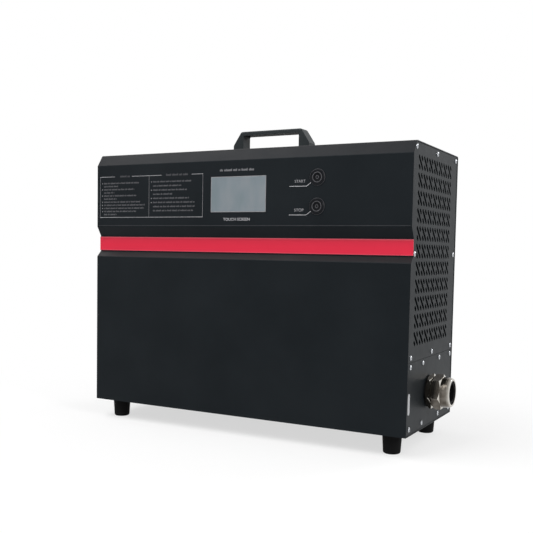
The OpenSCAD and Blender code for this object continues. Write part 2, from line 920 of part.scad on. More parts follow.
// Puts a gland on the right end plate, with one corner of its hexagons turned back from upwards
module on_right_plate() {
    translate([cover_x, gland_y, gland_z])
        rotate([0, 90, 0])
            rotate([0, 0, -gland_turn])
                children();
}

module on_left_plate() {
    mirror([1, 0, 0])
        on_right_plate()
            children();
}

module output_gland_washer() { on_right_plate() gland_washer(out_thread_d, out_hex_af); }
module output_gland_body() { on_right_plate() gland_body(out_thread_d, out_hex_af); }
module output_gland_seal() { on_right_plate() gland_seal(out_thread_d, out_bore_d, out_reach); }
module output_gland_nut() { on_right_plate() gland_nut(out_thread_d, out_hex_af, out_reach); }
module output_gland_locknut() { on_right_plate() gland_locknut(out_thread_d, out_hex_af); }
module inlet_gland_washer() { on_left_plate() gland_washer(in_thread_d, in_hex_af); }
module inlet_gland_body() { on_left_plate() gland_body(in_thread_d, in_hex_af); }
module inlet_gland_seal() { on_left_plate() gland_seal(in_thread_d, in_bore_d, in_reach); }
module inlet_gland_nut() { on_left_plate() gland_nut(in_thread_d, in_hex_af, in_reach); }
module inlet_gland_locknut() { on_left_plate() gland_locknut(in_thread_d, in_hex_af); }

// Screen: glass in the window, display module behind it, control board on standoffs
screen_z = fascia_z + screen_rise;
lcd_y = front_y + sheet_t;
control_y = lcd_y + lcd_t;
control_w = screen_w + 2 * (lcd_rim + board_rim);
control_h = screen_h + 2 * (lcd_rim + board_rim);
control_spots = [
    for (x = [-1, 1], z = [-1, 1])
        [screen_x + x * (control_w - board_rim) / 2, screen_z + z * (control_h - board_rim) / 2]
];
deck_spots = [
    for (x = [-1, 0, 1], y = [-1, 1])
        [
            deck_mid_x + x * (power_board_l / 2 - board_rim),
            power_board_y + y * (power_board_w / 2 - board_rim)
        ]
];

module touch_glass() {
    color(screen_grey)
        block(screen_x, front_y + sheet_t / 2, screen_z - screen_h / 2, screen_w, sheet_t, screen_h);
}

module lcd_module() {
    color(aluminium)
        block(screen_x, lcd_y + lcd_t / 2, screen_z - screen_h / 2 - lcd_rim,
            screen_w + 2 * lcd_rim, lcd_t, screen_h + 2 * lcd_rim);
}

module control_board() {
    color(board_green) {
        block(screen_x, control_y + board_t / 2, screen_z - control_h / 2, control_w, board_t, control_h);
        for (x = [-0.3, 0.02, 0.3])
            block(screen_x + x * control_w, control_y + board_t + 2, screen_z - 12, control_w / 6, 4.2, 24);
    }
}

module board_standoffs() {
    color(steel) {
        for (p = control_spots)
            translate([p.x, lcd_y, p.y])
                rotate([-90, 0, 0])
                    cylinder(d = standoff_d, h = lcd_t);
        for (p = deck_spots)
            translate([p.x, p.y, deck_z])
                cylinder(d = standoff_d, h = power_board_rise);
    }
}

// Puts a push button on the fascia: z = 0 is its face and the button stands out upwards
module on_fascia(rise) {
    translate([button_x, front_y, fascia_z + rise])
        rotate([90, 0, 0])
            children();
}

module button_housing() {
    bore_r = cap_d / 2 + cap_gap;
    floor_t = 4;
    stem_r = cap_d / 4;
    color(black)
        rotate_extrude()
            polygon([
                [stem_r, -barrel_l],
                [barrel_d / 2, -barrel_l],
                [barrel_d / 2, 0],
                [bezel_d / 2, 0],
                [bezel_d / 2, bezel_h / 3],
                [bezel_d / 2 - bezel_h * 2 / 3, bezel_h],
                [bore_r + 0.8, bezel_h],
                [bore_r, bezel_h - 0.8],
                [bore_r, -barrel_l + floor_t],
                [stem_r, -barrel_l + floor_t]
            ]);
}

// Pressed cap with a dished face
module button_cap() {
    dish_r = 2 * cap_d;
    dish_depth = 0.7;
    color(soft_black)
        difference() {
            translate([0, 0, cap_rise - cap_l])
                cylinder(d = cap_d, h = cap_l);
            translate([0, 0, cap_rise - dish_depth + dish_r])
                sphere(r = dish_r);
        }
}

module button_contacts() {
    block_w = barrel_d - 2;
    block_h = 15;
    blade_h = 6;
    color(soft_black) {
        block(0, 0, -barrel_l - block_h, block_w, block_w, block_h);
        for (x = [-1, 1], y = [-1, 1])
            block(x * block_w / 4, y * block_w / 4, -barrel_l - block_h - blade_h, 4, 0.8, blade_h + cut);
    }
}

module start_housing() { on_fascia(stop_rise + button_pitch) button_housing(); }
module start_button() { on_fascia(stop_rise + button_pitch) button_cap(); }
module start_contacts() { on_fascia(stop_rise + button_pitch) button_contacts(); }
module stop_housing() { on_fascia(stop_rise) button_housing(); }
module stop_button() { on_fascia(stop_rise) button_cap(); }
module stop_contacts() { on_fascia(stop_rise) button_contacts(); }

module button_nuts() {
    color(steel)
        for (rise = [stop_rise, stop_rise + button_pitch])
            on_fascia(rise)
                translate([0, 0, -sheet_t - button_nut_h])
                    difference() {
                        hex_prism(barrel_d + 4, button_nut_h);
                        translate([0, 0, -cut])
                            cylinder(d = barrel_d + thread_play, h = button_nut_h + 2 * cut);
                    }
}

// Bulkhead for the two fans, folded out along the tray, with a hole for the mains cable
module fan_bracket() {
    bracket_d = deck_d + 8;
    bracket_top = top_z - sheet_t - fit_gap;
    bracket_path = [[fan_x - flange_w, floor_z + sheet_t], [fan_x, floor_z + sheet_t], [fan_x, bracket_top]];
    cable_d = in_thread_d + 8;
    color(rim_grey)
        difference() {
            along_y(deck_y - bracket_d / 2, bracket_d)
                polygon(sheet_section(bracket_path));
            along_x(fan_x - cut, sheet_t + 2 * cut) {
                translate([gland_y, gland_z])
                    circle(d = cable_d);
                for (z = [lower_fan_z, upper_fan_z])
                    translate([deck_y, z]) {
                        circle(d = fan_bore_d);
                        for (a = [-1, 1], b = [-1, 1])
                            translate([a * fan_hole, b * fan_hole])
                                circle(d = screw_d + screw_play);
                    }
            }
        }
}

// Puts a fan on the bracket's inner face, with its axis along +X
module on_bracket(z) {
    translate([fan_x + sheet_t, deck_y, z])
        rotate([90, 0, 90])
            children();
}

module fan_frame() {
    strut_w = 5;
    corner_r = 5;
    corner_at = fan_w / 2 - corner_r;
    base_d = fan_hub_d - 2;
    bearing_top = fan_t * 0.6;
    color(black)
        difference() {
            union() {
                difference() {
                    linear_extrude(fan_t) {
                        square([fan_w, fan_w - 2 * corner_r], center = true);
                        square([fan_w - 2 * corner_r, fan_w], center = true);
                        for (a = [-1, 1], b = [-1, 1])
                            translate([a * corner_at, b * corner_at])
                                circle(r = corner_r);
                    }
                    translate([0, 0, -cut])
                        cylinder(d = fan_bore_d, h = fan_t + 2 * cut);
                }
                for (a = [45:90:315])
                    rotate([0, 0, a])
                        translate([base_d / 2 - 2, -strut_w / 2, fan_t - fan_base_t])
                            cube([fan_bore_d / 2 - base_d / 2 + 4, strut_w, fan_base_t]);
                translate([0, 0, fan_t - fan_base_t])
                    cylinder(d = base_d, h = fan_base_t);
                translate([0, 0, fan_t - bearing_top])
                    cylinder(d = fan_bearing_d, h = bearing_top);
            }
            translate([0, 0, fan_t - bearing_top - cut])
                cylinder(d = fan_shaft_d + 2 * fan_shaft_gap, h = bearing_top - 1.5 + cut);
            for (a = [-1, 1], b = [-1, 1])
                translate([a * fan_hole, b * fan_hole, -cut])
                    cylinder(d = screw_d + thread_play, h = fan_t + 2 * cut);
        }
}

// Rotor: cup-shaped hub on a shaft, with flat blades set at an angle
module fan_rotor() {
    hub_z = 3;
    cup_t = 2.5;
    base_gap = 1.5;
    hub_h = fan_t - fan_base_t - base_gap - hub_z;
    tip_r = fan_bore_d / 2 - fan_tip_gap;
    blade_z = hub_z + hub_h / 2;
    shaft_end = fan_t - 2.5;
    color(soft_black) {
        difference() {
            translate([0, 0, hub_z])
                cylinder(d = fan_hub_d, h = hub_h);
            translate([0, 0, hub_z + cup_t])
                cylinder(d = fan_hub_d - 2 * cup_t, h = hub_h);
        }
        translate([0, 0, hub_z + cup_t / 2])
            cylinder(d = fan_shaft_d, h = shaft_end - hub_z - cup_t / 2);
        intersection() {
            translate([0, 0, hub_z])
                difference() {
                    cylinder(r = tip_r, h = hub_h);
                    translate([0, 0, -cut])
                        cylinder(d = fan_hub_d - cup_t, h = hub_h + 2 * cut);
                }
            for (i = [0:fan_blade_n - 1])
                rotate([0, 0, i * 360 / fan_blade_n])
                    translate([0, 0, blade_z])
                        rotate([fan_blade_pitch, 0, 0])
                            translate([fan_hub_d / 2 - cup_t, -hub_h, -fan_blade_t / 2])
                                cube([tip_r, 2 * hub_h, fan_blade_t]);
        }
    }
}

module upper_fan_frame() { on_bracket(upper_fan_z) fan_frame(); }
module upper_fan_rotor() { on_bracket(upper_fan_z) fan_rotor(); }
module lower_fan_frame() { on_bracket(lower_fan_z) fan_frame(); }
module lower_fan_rotor() { on_bracket(lower_fan_z) fan_rotor(); }

module fan_screws() {
    color(steel)
        for (z = [lower_fan_z, upper_fan_z], a = [-1, 1], b = [-1, 1])
            translate([fan_x, deck_y + a * fan_hole, z + b * fan_hole])
                rotate([0, -90, 0])
                    pan_screw(screw_d, screw_head_d, screw_head_h, sheet_t + screw_len);
}

// Deck: a folded bridge on the tray, open at both ends for cables and air
module power_deck() {
    deck_path = [
        [deck_x0 - flange_w, floor_z + sheet_t],
        [deck_x0, floor_z + sheet_t],
        [deck_x0, deck_z],
        [deck_x1, deck_z],
        [deck_x1, floor_z + sheet_t],
        [deck_x1 + flange_w, floor_z + sheet_t]
    ];
    window_inset = 12;
    color(rim_grey)
        difference() {
            along_y(deck_y - deck_d / 2, deck_d)
                polygon(sheet_section(deck_path));
            along_x(deck_x0 - cut, deck_l + 2 * cut)
                translate([deck_y - deck_d / 2 + window_inset / 3, floor_z + window_inset])
                    square([deck_d - window_inset * 2 / 3, deck_h - 2 * window_inset]);
        }
}

module heat_sink() {
    fin_step = (sink_w - sink_fin_t) / (sink_fin_n - 1);
    color(aluminium)
        along_x(deck_mid_x - sink_l / 2, sink_l)
            translate([sink_y - sink_w / 2, deck_z]) {
                square([sink_w, sink_base_t]);
                for (i = [0:sink_fin_n - 1])
                    translate([i * fin_step, 0])
                        square([sink_fin_t, sink_h]);
            }
}

module power_board() {
    color(board_green)
        block(deck_mid_x, power_board_y, power_board_z, power_board_l, power_board_w, board_t);
}

// Shell-type core seen from the front: three legs between two yokes
core_yoke = core_leg_w / 2;
core_window_w = (core_w - 2 * core_leg_w) / 2;

module transformer_core() {
    color(ferrite)
        along_y(power_board_y - core_t / 2, core_t)
            translate([core_x, board_top_z])
                difference() {
                    translate([-core_w / 2, 0])
                        square([core_w, core_h]);
                    for (side = [-1, 1])
                        translate([side * (core_leg_w + core_window_w) / 2 - core_window_w / 2, core_yoke])
                            square([core_window_w, core_h - 2 * core_yoke]);
                }
}

module transformer_winding() {
    coil_h = core_h - 2 * core_yoke - 2 * winding_gap;
    coil_wall = core_window_w - 2 * winding_gap;
    leg_l = core_leg_w + 2 * winding_gap;
    leg_w = core_t + 2 * winding_gap;
    color(winding_amber)
        translate([0, 0, board_top_z + core_yoke + winding_gap])
            difference() {
                block(core_x, power_board_y, 0, leg_l + 2 * coil_wall, leg_w + 2 * coil_wall, coil_h);
                block(core_x, power_board_y, -cut, leg_l, leg_w, coil_h + 2 * cut);
            }
}

module bulk_capacitors() {
    edge_r = 2;
    groove = 1;
    color(can_blue)
        for (i = [0:cap_can_n - 1])
            translate([cap_x0 + i * cap_pitch, power_board_y, board_top_z])
                rotate_extrude()
                    polygon([
                        [0, 0],
                        [cap_can_d / 2, 0],
                        [cap_can_d / 2, 3 * groove],
                        [cap_can_d / 2 - groove, 4 * groove],
                        [cap_can_d / 2, 5 * groove],
                        [cap_can_d / 2, cap_can_h - edge_r],
                        [cap_can_d / 2 - edge_r, cap_can_h],
                        [cap_can_d / 2 - 2 * edge_r, cap_can_h - groove],
                        [0, cap_can_h - groove]
                    ]);
}

// Wound ring lying in a moulded base
module output_choke() {
    base_t = 4;
    color(winding_amber)
        translate([choke_x, choke_y, floor_z]) {
            cylinder(d = choke_d, h = base_t);
            translate([0, 0, base_t / 2 + choke_ring_d / 2])
                rotate_extrude()
                    translate([choke_d / 2 - choke_ring_d / 2, 0])
                        circle(d = choke_ring_d);
        }
}

module output_contactor() {
    foot_t = 5;
    stud_h = bar_t + 8;
    color(soft_black) {
        block(contactor_x, contactor_y, floor_z, contactor_w, contactor_l, foot_t);
        block(contactor_x, contactor_y, floor_z, contactor_w - 14, contactor_l, contactor_h);
        for (side = [-1, 1])
            translate([contactor_x, contactor_y + side * bar_y_step, bar_z - cut])
                cylinder(d = stud_d, h = stud_h + cut);
    }
}

// Flat copper bar from a contactor stud to its insulator, with a hole for the cable's lug
module busbar(side) {
    post_x = bar_x1 - bar_w / 2;
    bar_y = contactor_y + side * bar_y_step;
    color(copper)
        difference() {
            block((bar_x0 + bar_x1) / 2, bar_y, bar_z, bar_x1 - bar_x0, bar_w, bar_t);
            for (x = [contactor_x, post_x])
                translate([x, bar_y, bar_z - cut])
                    cylinder(d = stud_d + screw_play, h = bar_t + 2 * cut);
        }
}

module positive_busbar() { busbar(-1); }
module negative_busbar() { busbar(1); }

module busbar_insulators() {
    waist = 2;
    post_d = bar_w - 3;
    stud_h = bar_t + 8;
    color("#8c2f26")
        for (side = [-1, 1])
            translate([bar_x1 - bar_w / 2, contactor_y + side * bar_y_step, 0])
                rotate_extrude()
                    polygon([
                        [0, floor_z],
                        [post_d / 2, floor_z],
                        [post_d / 2, floor_z + contactor_h / 4],
                        [post_d / 2 - waist, floor_z + contactor_h / 3],
                        [post_d / 2 - waist, floor_z + contactor_h * 2 / 3],
                        [post_d / 2, floor_z + contactor_h * 3 / 4],
                        [post_d / 2, bar_z],
                        [stud_d / 2, bar_z],
                        [stud_d / 2, bar_z + stud_h],
                        [0, bar_z + stud_h]
                    ]);
}

// Screened filter can with a fixing lug and a row of terminals at each end
module mains_filter() {
    lug_l = 12;
    lug_t = 1.5;
    pin_w = 6.3;
    color(steel) {
        block(filter_x, filter_y, floor_z, filter_l, filter_w, filter_h);
        block(filter_x, filter_y, floor_z, filter_l + 2 * lug_l, filter_w / 2, lug_t);
        for (end = [-1, 1], i = [-1, 0, 1])
            block(filter_x + end * filter_l / 2, filter_y + i * filter_w / 4,
                floor_z + filter_h * 0.6, 2 * lug_l - 4, pin_w, 0.8);
    }
}

module terminal_block() {
    ways = 4;
    way_l = terminal_l / ways;
    mouth = way_l * 0.55;
    color(pale)
        difference() {
            block(terminal_x, terminal_y, floor_z, terminal_l, terminal_w, terminal_h);
            for (i = [0:ways - 1])
                translate([terminal_x + (i - (ways - 1) / 2) * way_l, terminal_y, 0]) {
                    translate([0, terminal_w / 2 + cut, floor_z + terminal_h / 3])
                        rotate([90, 0, 0])
                            cylinder(d = mouth, h = terminal_w + 2 * cut);
                    translate([0, 0, floor_z + terminal_h / 2])
                        cylinder(d = mouth * 0.8, h = terminal_h);
                }
        }
}

outer_wrap();
base_tray();
accent_strip();
right_end_frame();
left_end_frame();
right_side_cover();
left_side_cover();
right_lower_plate();
left_lower_plate();
right_cover_screws();
left_cover_screws();
rear_screws();
blank_label();
carry_handle();
handle_screws();
foot_front_left();
foot_front_right();
foot_rear_left();
foot_rear_right();
foot_screws();
output_gland_washer();
output_gland_body();
output_gland_seal();
output_gland_nut();
output_gland_locknut();
inlet_gland_washer();
inlet_gland_body();
inlet_gland_seal();
inlet_gland_nut();
inlet_gland_locknut();
touch_glass();
lcd_module();
control_board();
board_standoffs();
start_housing();
start_button();
start_contacts();
stop_housing();
stop_button();
stop_contacts();
button_nuts();
fan_bracket();
upper_fan_frame();
upper_fan_rotor();
lower_fan_frame();
lower_fan_rotor();
fan_screws();
power_deck();
heat_sink();
power_board();
transformer_core();
transformer_winding();
bulk_capacitors();
output_choke();
output_contactor();
positive_busbar();
negative_busbar();
busbar_insulators();
mains_filter();
terminal_block();
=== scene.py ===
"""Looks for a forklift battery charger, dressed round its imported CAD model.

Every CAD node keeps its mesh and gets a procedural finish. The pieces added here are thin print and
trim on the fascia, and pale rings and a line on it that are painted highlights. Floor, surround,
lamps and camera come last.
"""

import math
from typing import NamedTuple

import bmesh
import bpy
from mathutils import Matrix, Vector


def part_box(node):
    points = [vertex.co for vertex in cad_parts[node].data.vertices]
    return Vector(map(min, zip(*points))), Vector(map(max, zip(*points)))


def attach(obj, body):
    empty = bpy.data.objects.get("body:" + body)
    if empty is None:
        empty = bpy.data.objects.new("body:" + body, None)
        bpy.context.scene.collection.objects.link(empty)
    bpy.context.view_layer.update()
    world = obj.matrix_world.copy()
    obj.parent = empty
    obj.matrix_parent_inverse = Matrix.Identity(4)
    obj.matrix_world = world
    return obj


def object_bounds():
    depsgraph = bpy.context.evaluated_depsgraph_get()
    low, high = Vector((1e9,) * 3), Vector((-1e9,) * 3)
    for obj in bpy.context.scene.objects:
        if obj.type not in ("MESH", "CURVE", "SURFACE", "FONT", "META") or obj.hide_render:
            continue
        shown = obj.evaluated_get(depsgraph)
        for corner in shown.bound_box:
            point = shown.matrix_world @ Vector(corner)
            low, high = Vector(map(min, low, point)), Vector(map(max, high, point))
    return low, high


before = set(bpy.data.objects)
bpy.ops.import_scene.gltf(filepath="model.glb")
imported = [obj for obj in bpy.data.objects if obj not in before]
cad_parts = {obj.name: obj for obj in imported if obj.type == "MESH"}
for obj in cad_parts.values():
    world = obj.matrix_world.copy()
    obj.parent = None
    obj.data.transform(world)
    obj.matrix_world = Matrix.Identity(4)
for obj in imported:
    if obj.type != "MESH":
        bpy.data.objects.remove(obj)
cad_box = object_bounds()

MM = 0.001

# Places taken from the frame, in metres

WRAP_LOW, WRAP_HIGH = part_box("outer_wrap")
GLASS_LOW, GLASS_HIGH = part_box("touch_glass")
STRIP_LOW, STRIP_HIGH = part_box("accent_strip")
FASCIA_Y = GLASS_LOW.y
CENTRE = (cad_box[0] + cad_box[1]) / 2


# Colours and shader nodes


def srgb(red, green, blue):
    """Linear colour, with alpha, of an 8-bit screen colour."""

    def linear(value):
        value /= 255
        return value / 12.92 if value <= 0.04045 else ((value + 0.055) / 1.055) ** 2.4

    return (linear(red), linear(green), linear(blue), 1.0)


def grey(level):
    """Linear grey, with alpha."""
    return (level, level, level, 1.0)


def set_inputs(node, values):
    """Sets inputs by name: an underscore stands for a space."""
    for name, value in values.items():
        node.inputs[name.replace("_", " ")].default_value = value


def add_node(tree, kind, **inputs):
    node = tree.nodes.new("ShaderNode" + kind)
    set_inputs(node, inputs)
    return node


# Sockets of a Mix node that mixes colours

MIX_FACTOR, MIX_FIRST, MIX_SECOND = 0, 6, 7
MIX_RESULT = 2


class Finish:
    """A procedural material built round one Principled shader.

    Colours are 8-bit screen colours. Textures lie in the object's own coordinates, which are the CAD
    frame in metres, so a noise of scale 100 has features about 10 mm across.
    """

    def __init__(self, name, colour, roughness, **sockets):
        self.material = bpy.data.materials.new(name + "_finish")
        self.material.use_nodes = True
        self.material.diffuse_color = srgb(*colour)
        self.tree = self.material.node_tree
        self.shader = self.tree.nodes["Principled BSDF"]
        self.place = self.node("TexCoord").outputs["Object"]
        set_inputs(self.shader, {"Base Color": srgb(*colour), "Roughness": roughness, **sockets})

    def node(self, kind, **inputs):
        return add_node(self.tree, kind, **inputs)

    def link(self, source, target):
        self.tree.links.new(source, target)

    # Patterns, as shares from 0 to 1

    def noise(self, scale, detail=2.0, stretch=None):
        texture = self.node("TexNoise", Scale=scale, Detail=detail)
        place = self.place
        if stretch:
            mapping = self.node("Mapping", Scale=stretch)
            self.link(place, mapping.inputs["Vector"])
            place = mapping.outputs["Vector"]
        self.link(place, texture.inputs["Vector"])
        return texture.outputs["Fac"]

    def cells(self, scale):
        texture = self.node("TexVoronoi", Scale=scale)
        self.link(self.place, texture.inputs["Vector"])
        return texture.outputs["Distance"]

    def bands(self, scale, axis, distortion):
        texture = self.node("TexWave", Scale=scale, Distortion=distortion)
        texture.bands_direction = axis
        self.link(self.place, texture.inputs["Vector"])
        return texture.outputs["Fac"]

    def component(self, vector, axis):
        parts = self.node("SeparateXYZ")
        self.link(vector, parts.inputs["Vector"])
        return parts.outputs[axis]

    def between(self, value, low, high):
        """0 up to a low value and 1 from a high one on."""
        spread = self.node("MapRange", From_Min=low, From_Max=high)
        self.link(value, spread.inputs["Value"])
        return spread.outputs["Result"]

    def rise(self, low, high):
        """0 at a low height and 1 at a high one."""
        return self.between(self.component(self.place, "Z"), low, high)

    def facing(self, axis, low, high, both_ways=False):
        """0 where the surface's normal has up to low along an axis, 1 where it has high or more."""
        along = self.component(self.node("NewGeometry").outputs["Normal"], axis)
        if both_ways:
            size = self.node("Math")
            size.operation = "ABSOLUTE"
            self.link(along, size.inputs[0])
            along = size.outputs["Value"]
        return self.between(along, low, high)

    # Colours from patterns

    def ramp(self, share, *stops):
        """Colour by a share: stops are (position, colour)."""
        ramp = self.node("ValToRGB")
        points = ramp.color_ramp.elements
        for point, (position, colour) in ((points[0], stops[0]), (points[1], stops[-1])):
            point.position, point.color = position, srgb(*colour)
        for position, colour in stops[1:-1]:
            points.new(position).color = srgb(*colour)
        self.link(share, ramp.inputs["Fac"])
        return ramp.outputs["Color"]

    def drift(self, dark, light, scale, detail=2.0, ends=(0.3, 0.7)):
        """Colour that wanders from dark to light as a noise goes from one end to the other."""
        low, high = ends
        return self.ramp(self.noise(scale, detail), (low, dark), (high, light))

    def film(self, share, under, over):
        """Colour that goes from one to another by a share."""
        mix = self.node("Mix")
        mix.data_type = "RGBA"
        self.link(share, mix.inputs[MIX_FACTOR])
        self.link(under, mix.inputs[MIX_FIRST])
        self.link(over, mix.inputs[MIX_SECOND])
        return mix.outputs[MIX_RESULT]

    # What the shader takes from them

    def paint(self, colour):
        self.link(colour, self.shader.inputs["Base Color"])
        return self

    def gloss(self, share, low, high):
        """Roughness between two values."""
        spread = self.node("MapRange", To_Min=low, To_Max=high)
        self.link(share, spread.inputs["Value"])
        self.link(spread.outputs["Result"], self.shader.inputs["Roughness"])
        return self

    def relief(self, height, depth_mm, strength):
        """Bump of a real depth."""
        bump = self.node("Bump", Strength=strength, Distance=depth_mm * MM)
        self.link(height, bump.inputs["Height"])
        self.link(bump.outputs["Normal"], self.shader.inputs["Normal"])
        return self


# Finishes, named after the record's material slots


def powder_coat():
    """Satin charcoal coat, fine orange peel, faint drifts in tone, and painted light on upward faces.
    """
    sheen = srgb(238, 247, 255)
    coat = Finish("powder_coat", (24, 28, 31), 0.42, Specular_IOR_Level=0.08, Specular_Tint=sheen)
    charcoal = coat.drift((21, 25, 28), (27, 31, 34), scale=9.0, detail=3.0)
    # Painted light: faces that look upward are painted a lighter grey, standing in for light from
    # above.
    painted_top_light = coat.drift((35, 35, 37), (45, 43, 44), scale=25.0, detail=4.0, ends=(0.25, 0.75))
    coat.paint(coat.film(coat.facing("Z", low=0.3, high=0.75), charcoal, painted_top_light))
    coat.gloss(coat.noise(scale=60.0, detail=3.0), low=0.38, high=0.48)
    return coat.relief(coat.noise(scale=900.0, detail=1.0), depth_mm=0.05, strength=0.35)


def zinc_sheet():
    """Galvanised sheet with its spangle."""
    sheet = Finish("zinc_sheet", (176, 179, 181), 0.38, Metallic=1.0)
    spangle = sheet.cells(scale=140.0)
    sheet.paint(sheet.ramp(spangle, (0.1, (160, 164, 168)), (0.6, (190, 192, 192))))
    return sheet.gloss(sheet.noise(scale=80.0, detail=3.0), low=0.3, high=0.46)


def red_strip():
    """Satin red, with painted highlights along its top and bottom rims and painted shade under the
    overhang.
    """
    strip = Finish("red_strip", (216, 40, 68), 0.36, Specular_IOR_Level=0.12)
    # Painted light: the pale ends of this ramp are painted highlights, the darker stops near the top
    # painted shade.
    red = strip.ramp(
        strip.rise(STRIP_LOW.z, STRIP_HIGH.z),
        (0.0, (226, 92, 110)),
        (0.06, (222, 47, 72)),
        (0.45, (219, 46, 70)),
        (0.78, (210, 46, 69)),
        (0.92, (194, 48, 67)),
        (1.0, (198, 94, 106)),
    )
    strip.paint(red)
    strip.gloss(strip.noise(scale=260.0, detail=3.0, stretch=(0.02, 1.0, 1.0)), low=0.28, high=0.46)
    return strip.relief(strip.noise(scale=700.0, detail=1.0), depth_mm=0.03, strength=0.3)


def bright_screw():
    """Zinc-plated steel."""
    screw = Finish("bright_screw", (186, 189, 193), 0.22, Metallic=1.0)
    screw.paint(screw.drift((172, 175, 180), (198, 200, 203), scale=400.0))
    return screw.gloss(screw.noise(scale=900.0), low=0.16, high=0.3)


def pale_label():
    """Plain pale film."""
    label = Finish("pale_label", (176, 178, 180), 0.4, Specular_IOR_Level=0.2)
    return label.paint(label.drift((168, 170, 173), (184, 185, 187), scale=300.0))


def handle_plastic():
    """Moulded black nylon with a fine spark-eroded grain."""
    grip = Finish("handle_plastic", (44, 49, 51), 0.5, Specular_IOR_Level=0.12)
    grip.paint(grip.drift((41, 46, 48), (48, 53, 55), scale=30.0, detail=3.0))
    grip.gloss(grip.noise(scale=200.0, detail=3.0), low=0.45, high=0.58)
    return grip.relief(grip.cells(scale=1400.0), depth_mm=0.06, strength=0.4)


def foot_rubber():
    """Dull black rubber."""
    rubber = Finish("foot_rubber", (17, 17, 18), 0.72, Specular_IOR_Level=0.08)
    rubber.paint(rubber.drift((14, 14, 15), (21, 21, 22), scale=60.0, detail=4.0, ends=(0.3, 0.75)))
    return rubber.relief(rubber.noise(scale=1200.0), depth_mm=0.05, strength=0.4)


def plated_brass():
    """Nickel plate over brass, with painted light: a painted highlight where faces look along the
    axis, a darker painted reflection on the rest.
    """
    plate = Finish("plated_brass", (114, 109, 101), 0.08, Metallic=1.0)
    tarnish = {"scale": 90.0, "detail": 3.0, "ends": (0.35, 0.65)}
    # Painted light: dark painted reflection on the hex sides and body, painted highlight on chamfers,
    # ends and dome.
    painted_dark_reflection = plate.drift((86, 80, 73), (112, 107, 100), **tarnish)
    painted_highlight_colour = plate.drift((184, 179, 170), (206, 203, 197), **tarnish)
    plate.paint(plate.film(plate.facing("X", low=0.12, high=0.5, both_ways=True), painted_dark_reflection, painted_highlight_colour))
    plate.gloss(plate.noise(scale=150.0, detail=3.0), low=0.04, high=0.12)
    turning = plate.bands(scale=420.0, axis="X", distortion=0.2)
    return plate.relief(turning, depth_mm=0.03, strength=0.4)


def screen_glass():
    """Blank display under its clear film, with soft drifts in tone."""
    glass = Finish("screen_glass", (122, 132, 138), 0.3, Specular_IOR_Level=0.25)
    haze = glass.ramp(
        glass.noise(scale=26.0, stretch=(1.6, 1.0, 0.7)),
        (0.3, (112, 125, 130)),
        (0.5, (122, 132, 138)),
        (0.7, (130, 137, 142)),
    )
    glass.paint(haze)
    return glass.gloss(glass.noise(scale=70.0), low=0.26, high=0.36)


def module_can():
    """Rolled tinplate."""
    can = Finish("module_can", (170, 172, 174), 0.35, Metallic=1.0)
    can.paint(can.drift((160, 162, 165), (180, 182, 183), scale=50.0))
    rolling = can.noise(scale=180.0, detail=3.0, stretch=(1.0, 6.0, 1.0))
    return can.gloss(rolling, low=0.28, high=0.42)


def circuit_board():
    """Green solder mask with the faint pattern of tracks under it."""
    board = Finish("circuit_board", (24, 78, 48), 0.32)
    tracks = board.bands(scale=190.0, axis="X", distortion=3.0)
    board.paint(board.ramp(tracks, (0.35, (20, 68, 42)), (0.65, (30, 90, 56))))
    return board.relief(tracks, depth_mm=0.03, strength=0.5)


def button_bezel():
    """Black anodised ring."""
    bezel = Finish("button_bezel", (16, 18, 22), 0.4, Specular_IOR_Level=0.1)
    bezel.paint(bezel.drift((13, 15, 19), (20, 22, 26), scale=300.0))
    return bezel.gloss(bezel.noise(scale=500.0), low=0.34, high=0.46)


def button_face():
    """Soft black cap."""
    face = Finish("button_face", (15, 16, 19), 0.5, Specular_IOR_Level=0.06)
    face.paint(face.drift((12, 13, 16), (19, 20, 23), scale=250.0))
    return face.gloss(face.noise(scale=400.0), low=0.45, high=0.58)


def black_plastic():
    """Moulded plastic of the fans and other inside parts."""
    plastic = Finish("black_plastic", (30, 31, 33), 0.48)
    plastic.paint(plastic.drift((26, 27, 29), (35, 36, 38), scale=70.0, detail=3.0))
    return plastic.relief(plastic.noise(scale=1000.0), depth_mm=0.04, strength=0.4)


def sink_aluminium():
    """Extruded aluminium, drawn along its length."""
    sink = Finish("sink_aluminium", (186, 188, 190), 0.36, Metallic=1.0)
    sink.paint(sink.drift((176, 179, 182), (196, 197, 198), scale=20.0))
    drawing = sink.noise(scale=90.0, detail=4.0, stretch=(0.05, 1.0, 1.0))
    return sink.gloss(drawing, low=0.28, high=0.46)


def ferrite():
    """Sintered core."""
    core = Finish("ferrite", (52, 52, 54), 0.6)
    core.paint(core.drift((44, 44, 46), (62, 62, 63), scale=220.0, detail=4.0))
    return core.relief(core.noise(scale=800.0, detail=3.0), depth_mm=0.05, strength=0.5)


def winding():
    """Enamelled copper laid in close turns, with painted shade in the grooves between them."""
    wire = Finish("winding", (168, 92, 48), 0.32, Metallic=0.8)
    turns = wire.bands(scale=160.0, axis="Z", distortion=0.3)
    # Painted shade: the ramp darkens the copper where the turns' relief is low.
    wire.paint(wire.ramp(turns, (0.2, (112, 56, 28)), (0.7, (184, 104, 56))))
    return wire.relief(turns, depth_mm=0.5, strength=0.6)


def capacitor_sleeve():
    """Shrunk blue sleeve."""
    sleeve = Finish("capacitor_sleeve", (34, 44, 70), 0.3)
    sleeve.paint(sleeve.drift((30, 40, 64), (40, 50, 78), scale=40.0))
    return sleeve.gloss(sleeve.noise(scale=150.0), low=0.25, high=0.38)


def copper_bar():
    """Bare copper, unevenly tarnished."""
    busbar = Finish("copper_bar", (202, 124, 84), 0.3, Metallic=1.0)
    busbar.paint(busbar.drift((180, 102, 66), (214, 138, 98), scale=60.0, detail=4.0))
    return busbar.gloss(busbar.noise(scale=200.0, detail=3.0), low=0.22, high=0.42)


